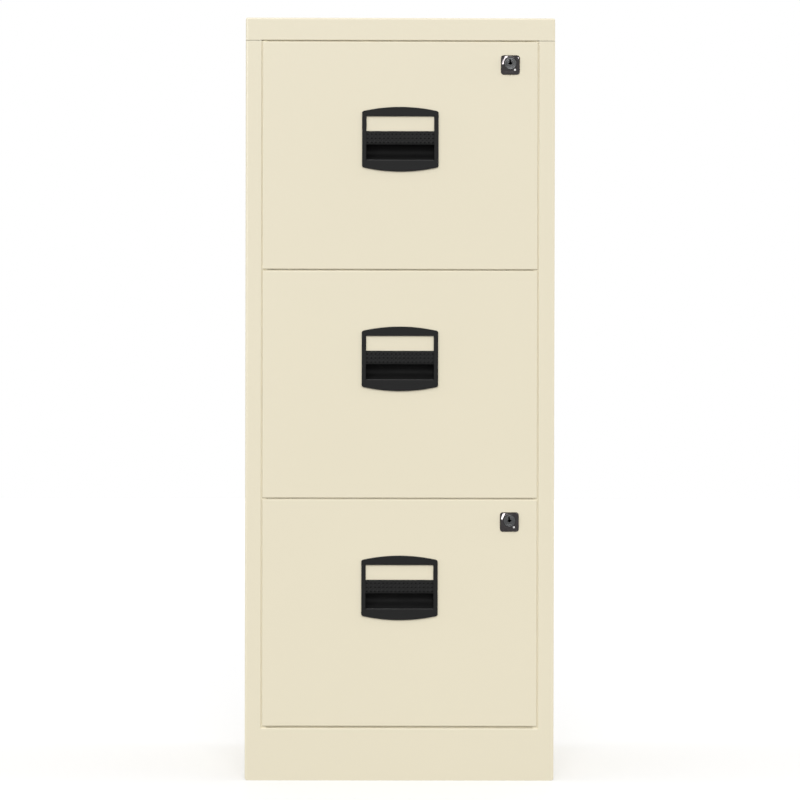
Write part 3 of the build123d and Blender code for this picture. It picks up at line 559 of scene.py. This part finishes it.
def makeHighlightDot(place, body, axis):
    s = highlightDotSetup
    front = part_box("lock_housing_" + place)[0].y
    barrelLow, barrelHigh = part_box("lock_barrel_" + place)
    ringEdge = (barrelHigh.x - barrelLow.x) / 2 + lockSetup["running"] + bezelSetup["ringWide"]
    angle = np.linspace(0, 2 * np.pi, s["columns"], endpoint=False)
    circle = np.stack([np.cos(angle), np.sin(angle)], axis=-1)
    middle = np.array([axis.x + s["right"], axis.z - s["down"]])
    rings = []
    for share, height in s["profile"]:
        # each ring follows the bezel's cone
        plan = middle + s["radius"] * share * circle
        out = np.hypot(plan[:, 0] - axis.x, plan[:, 1] - axis.z) - ringEdge
        surface = front + bezelSetup["coneSlope"] * out + bezelSetup["coneBend"] * out * out
        rings.append(np.stack([plan[:, 0], surface - height, plan[:, 1]], axis=-1))
    poles = [rings[0].mean(axis=0), rings[-1].mean(axis=0) - np.array([0, s["crown"], 0])]
    points, faces = shellFromRings(np.array(rings), poles)
    addPiece("lockHighlightDot_" + place, points, faces, body, highlightDotFinish)


for place, drawer in (("top", "drawer_1"), ("bottom", "drawer_3")):
    lockAxis = makeBezel(place, drawer)
    makeBarrel(place, "lock_" + place, lockAxis)
    makeHighlightDot(place, drawer, lockAxis)
print("locks ready")

# grips: a sunk strip of the pull, pressed with rows of lozenge pits and a fainter set between them, with
# painted shade in the pits
gripSetup = {
    "sideBar": 0.0062,        # outer edge of the pull to the grip
    "top": 0.0333,            # top of the pull down to the grip
    "tall": 0.0155,
    "step": 0.00021,          # size of the grid's squares
    "pitch": 0.00543,
    "pitWide": 0.0034,
    "pitTall": 0.0021,
    "pitDeep": 0.00098,
    "pitDrop": 0.0010,        # middle of the grip down to the middle row of pits
    "betweenDeep": 0.00035,
    "flank": 0.45,            # share of a pit's half width that its flank takes
    # painted shade: the pits' bottoms and the fainter set between them are coloured darker
    "paintedPitShade": 0.86,         # how much darker a pit's bottom is
    "paintedBetweenShade": 0.34,
    "rimWide": 0.0004,        # rounded edge of the strip
    "rimDeep": 0.00025,
    "sunk": 0.00010,          # grip's surface behind the pull's face
    "rootSunk": 0.00115,
}
# the grip's plastic is darkened by the stored painted shade
gripFinish = makeFinish("gripPlastic", "mould", black, bump=0.25, specular=0.08)
storedPaintedShade = addNode(gripFinish.node_tree, "ShaderNodeAttribute", attribute_name="paintedPitShade")
paintShade(gripFinish, storedPaintedShade.outputs["Fac"])


def makeGrip(number):
    s = gripSetup
    low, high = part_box(f"handle_{number}")
    left, right = low.x + s["sideBar"], high.x - s["sideBar"]
    top = high.z - s["top"]
    bottom = top - s["tall"]
    columns, rows = int((right - left) / s["step"]) + 1, int(s["tall"] / s["step"]) + 1
    x, z = np.meshgrid(np.linspace(left, right, columns), np.linspace(bottom, top, rows))
    middleX, middleZ = (left + right) / 2, (top + bottom) / 2

    def pits(shift):
        # lozenges on a square lattice: 1 in each middle, 0 from its edge outwards, with rounded flanks
        dx = (x - middleX + shift) / s["pitch"]
        dz = (z - middleZ + s["pitDrop"] + shift) / s["pitch"]
        dx, dz = (dx - np.round(dx)) * s["pitch"], (dz - np.round(dz)) * s["pitch"]
        away = 2 * np.abs(dx) / s["pitWide"] + 2 * np.abs(dz) / s["pitTall"]
        inside = np.clip((1 - away) / s["flank"], 0, 1)
        return inside * inside * (3 - 2 * inside)

    edgeAway = np.minimum.reduce([x - left, right - x, z - bottom, top - z])
    rim = 1 - np.clip(edgeAway / s["rimWide"], 0, 1)
    deep, between = pits(0), pits(s["pitch"] / 2)
    depth = s["pitDeep"] * deep + s["betweenDeep"] * between + s["rimDeep"] * rim * rim
    # painted shade: colour darker where the pits are deep
    shade = 1 - s["paintedPitShade"] * deep - s["paintedBetweenShade"] * between
    face = np.stack([x, low.y + s["sunk"] + depth, z], axis=-1).reshape(-1, 3)
    grid = np.arange(rows * columns).reshape(rows, columns)
    quads = np.stack([grid[:-1, :-1], grid[:-1, 1:], grid[1:, 1:], grid[1:, :-1]], axis=-1)
    # skirt from the border straight back, and one face behind
    border = np.concatenate([grid[0, :-1], grid[:-1, -1], grid[-1, :0:-1], grid[:0:-1, 0]])
    back = face[border].copy()
    back[:, 1] = low.y + s["rootSunk"]
    count, start = len(border), rows * columns
    ring = np.arange(count)
    skirt = np.stack([border, start + ring, start + (ring + 1) % count, np.roll(border, -1)], axis=-1)
    points = np.vstack([face, back])
    faces = quads.reshape(-1, 4).tolist() + skirt.tolist() + [(start + ring[::-1]).tolist()]
    piece = addPiece(f"grip_{number}", points, faces, f"drawer_{number}", gripFinish)
    stored = piece.data.attributes.new("paintedPitShade", "FLOAT", "POINT")
    stored.data.foreach_set("value", np.concatenate([shade.ravel(), np.ones(count)]))


# polished bead along the top of the lip that fingers pull on; its plastic is coloured lighter than the
# pull's, a painted highlight on the lip's edge
beadSetup = {
    "sideBar": 0.0062,        # outer edge of the pull to the bead's end
    "above": 0.0153,          # bottom of the pull up to the lip's edge
    "radius": 0.00042,
    "back": 0.00045,          # pull's face to the bead's middle
    "drop": 0.00040,          # lip's edge down to the bead's middle
    "columns": 16,
    "endTurns": (15, 90, 5),        # degrees, first and last, and how many
}
# lighter colour than the pull's black: a painted highlight
lipHighlightPlastic = dict(black, Color=(0.055, 0.055, 0.054, 1), Roughness=0.35)
lipHighlightFinish = makeFinish("beadPaintedHighlight", "mould", lipHighlightPlastic, bump=0.1, specular=0.2)


def makeBead(number):
    # round bar, its ends half balls that stay within its length
    s = beadSetup
    low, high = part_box(f"handle_{number}")
    left, right = low.x + s["sideBar"], high.x - s["sideBar"]
    middleY, middleZ = low.y + s["back"], low.z + s["above"] - s["drop"]
    angle = np.linspace(0, 2 * np.pi, s["columns"], endpoint=False)
    cos, sin = np.cos(angle), np.sin(angle)
    rings = []
    for end, side in ((left, -1), (right, 1)):
        for turn in np.radians(np.linspace(*s["endTurns"]))[::-side]:
            radius = s["radius"] * np.sin(turn)
            x = end + side * s["radius"] * (np.cos(turn) - 1)
            rings.append(np.stack([x + 0 * angle, middleY + radius * cos, middleZ + radius * sin], axis=-1))
    poles = [(left, middleY, middleZ), (right, middleY, middleZ)]
    points, faces = shellFromRings(np.array(rings), poles)
    addPiece(f"lipBead_{number}", points, faces, f"drawer_{number}", lipHighlightFinish)


for number in (1, 2, 3):
    makeGrip(number)
    makeBead(number)
print("grips and beads ready")

# lamps, none of them seen by the camera. The first lights everything and is mirrored; the next four light the
# other sides and the plinth and aren't mirrored; the last two are only mirrored, for the locks' highlights
lamps = {
    "above": {"place": (0.3, -24, 12), "towards": (0, -0.2, 0.5), "size": (12, 8), "power": 2820},
    "behind": {"place": (0.3, 17.5, 3.5), "towards": (0, 0.2, 0.5), "size": (6, 4), "power": 950,
               "mirrored": False},
    "leftSide": {"place": (-17.5, 0, 3.5), "towards": (0, 0, 0.5), "size": (4, 4), "power": 790,
                 "mirrored": False},
    "rightSide": {"place": (17.5, 0, 3.5), "towards": (0, 0, 0.5), "size": (4, 4), "power": 790,
                  "mirrored": False},
    "low": {"place": (0, -1.2, 0.06), "towards": (0, 0, 0.06), "size": (1.2, 0.08), "power": 1.30,
            "mirrored": False},
    "slanting": {"place": (-3.2, -4.66, 4.1), "towards": (0.1, -0.2, 0.65), "along": (0.345, 0, 0.939),
                 "size": (0.95, 7.5), "power": 710, "matt": False},
    "spot": {"place": (7.2, -4.66, 6.5), "towards": (0.1, -0.2, 0.65), "size": (1.1, 1.1), "power": 110,
             "matt": False},
}
for name, setup in lamps.items():
    lampData = bpy.data.lights.new(name, "AREA")
    lampData.shape = "RECTANGLE"
    lampData.size, lampData.size_y = setup["size"]
    lampData.energy = setup["power"]
    lamp = bpy.data.objects.new(name, lampData)
    scene.collection.objects.link(lamp)
    # a lamp shines backwards along its own z, and its length lies along the given direction
    backwards = (Vector(setup["place"]) - Vector(setup["towards"])).normalized()
    along = Vector(setup.get("along", (0, 0, 1)))
    along = (along - backwards * along.dot(backwards)).normalized()
    turned = Matrix((along.cross(backwards), along, backwards)).transposed()
    lamp.matrix_world = Matrix.Translation(setup["place"]) @ turned.to_4x4()
    lamp.visible_diffuse = setup.get("matt", True)
    lamp.visible_glossy = setup.get("mirrored", True)
    lamp.visible_camera = False


def seenDirectly(tree):
    # 1 for what the camera, a reflection or glass sees, 0 for light that falls on things
    path = addNode(tree, "ShaderNodeLightPath")
    either = sums(tree, "MAXIMUM", path.outputs["Is Camera Ray"], path.outputs["Is Glossy Ray"])
    return sums(tree, "MAXIMUM", either, path.outputs["Is Transmission Ray"])


# white room: a little less light than it shows
room = {"light": 0.835, "seen": 1.0}
world = bpy.data.worlds.new("room")
scene.world = world
world.use_nodes = True
worldTree = world.node_tree
worldTree.nodes.clear()
worldOut = addNode(worldTree, "ShaderNodeOutputWorld")
worldMix = addNode(worldTree, "ShaderNodeMixShader")
worldTree.links.new(seenDirectly(worldTree), worldMix.inputs["Fac"])
for number, strength in enumerate((room["light"], room["seen"]), start=1):
    background = addNode(worldTree, "ShaderNodeBackground")
    background.inputs["Color"].default_value = (1, 1, 1, 1)
    background.inputs["Strength"].default_value = strength
    worldTree.links.new(background.outputs[0], worldMix.inputs[number])
worldTree.links.new(worldMix.outputs[0], worldOut.inputs["Surface"])

# floor that is white to the camera, keeps a soft shadow, and throws less light back than it seems to
floorSetup = {"reach": 9.0, "seenColor": 0.70, "lift": 0.24, "litColor": 0.15}
floorMesh = bpy.data.meshes.new("floor")
reach = floorSetup["reach"]
floorCorners = [(-reach, -reach, 0), (reach, -reach, 0), (reach, reach, 0), (-reach, reach, 0)]
floorMesh.from_pydata(floorCorners, [], [(0, 1, 2, 3)])
floor = bpy.data.objects.new("floor", floorMesh)
scene.collection.objects.link(floor)
floorFinish = bpy.data.materials.new("floorWhite")
floorFinish.use_nodes = True
floorTree = floorFinish.node_tree
floorTree.nodes.clear()
floorOut = addNode(floorTree, "ShaderNodeOutputMaterial")
floorDiffuse = addNode(floorTree, "ShaderNodeBsdfDiffuse")
floorLift = addNode(floorTree, "ShaderNodeEmission")
floorSum = addNode(floorTree, "ShaderNodeAddShader")
floorSeen = seenDirectly(floorTree)
brighter = floorSetup["seenColor"] - floorSetup["litColor"]
floorShade = around(floorTree, floorSeen, floorSetup["litColor"], brighter, 0.0)
floorTree.links.new(floorShade, floorDiffuse.inputs["Color"])
floorTree.links.new(sums(floorTree, "MULTIPLY", floorSeen, floorSetup["lift"]), floorLift.inputs["Strength"])
floorTree.links.new(floorDiffuse.outputs[0], floorSum.inputs[0])
floorTree.links.new(floorLift.outputs[0], floorSum.inputs[1])
floorTree.links.new(floorSum.outputs[0], floorOut.inputs["Surface"])
floorMesh.materials.append(floorFinish)
print("lights, room and floor ready")
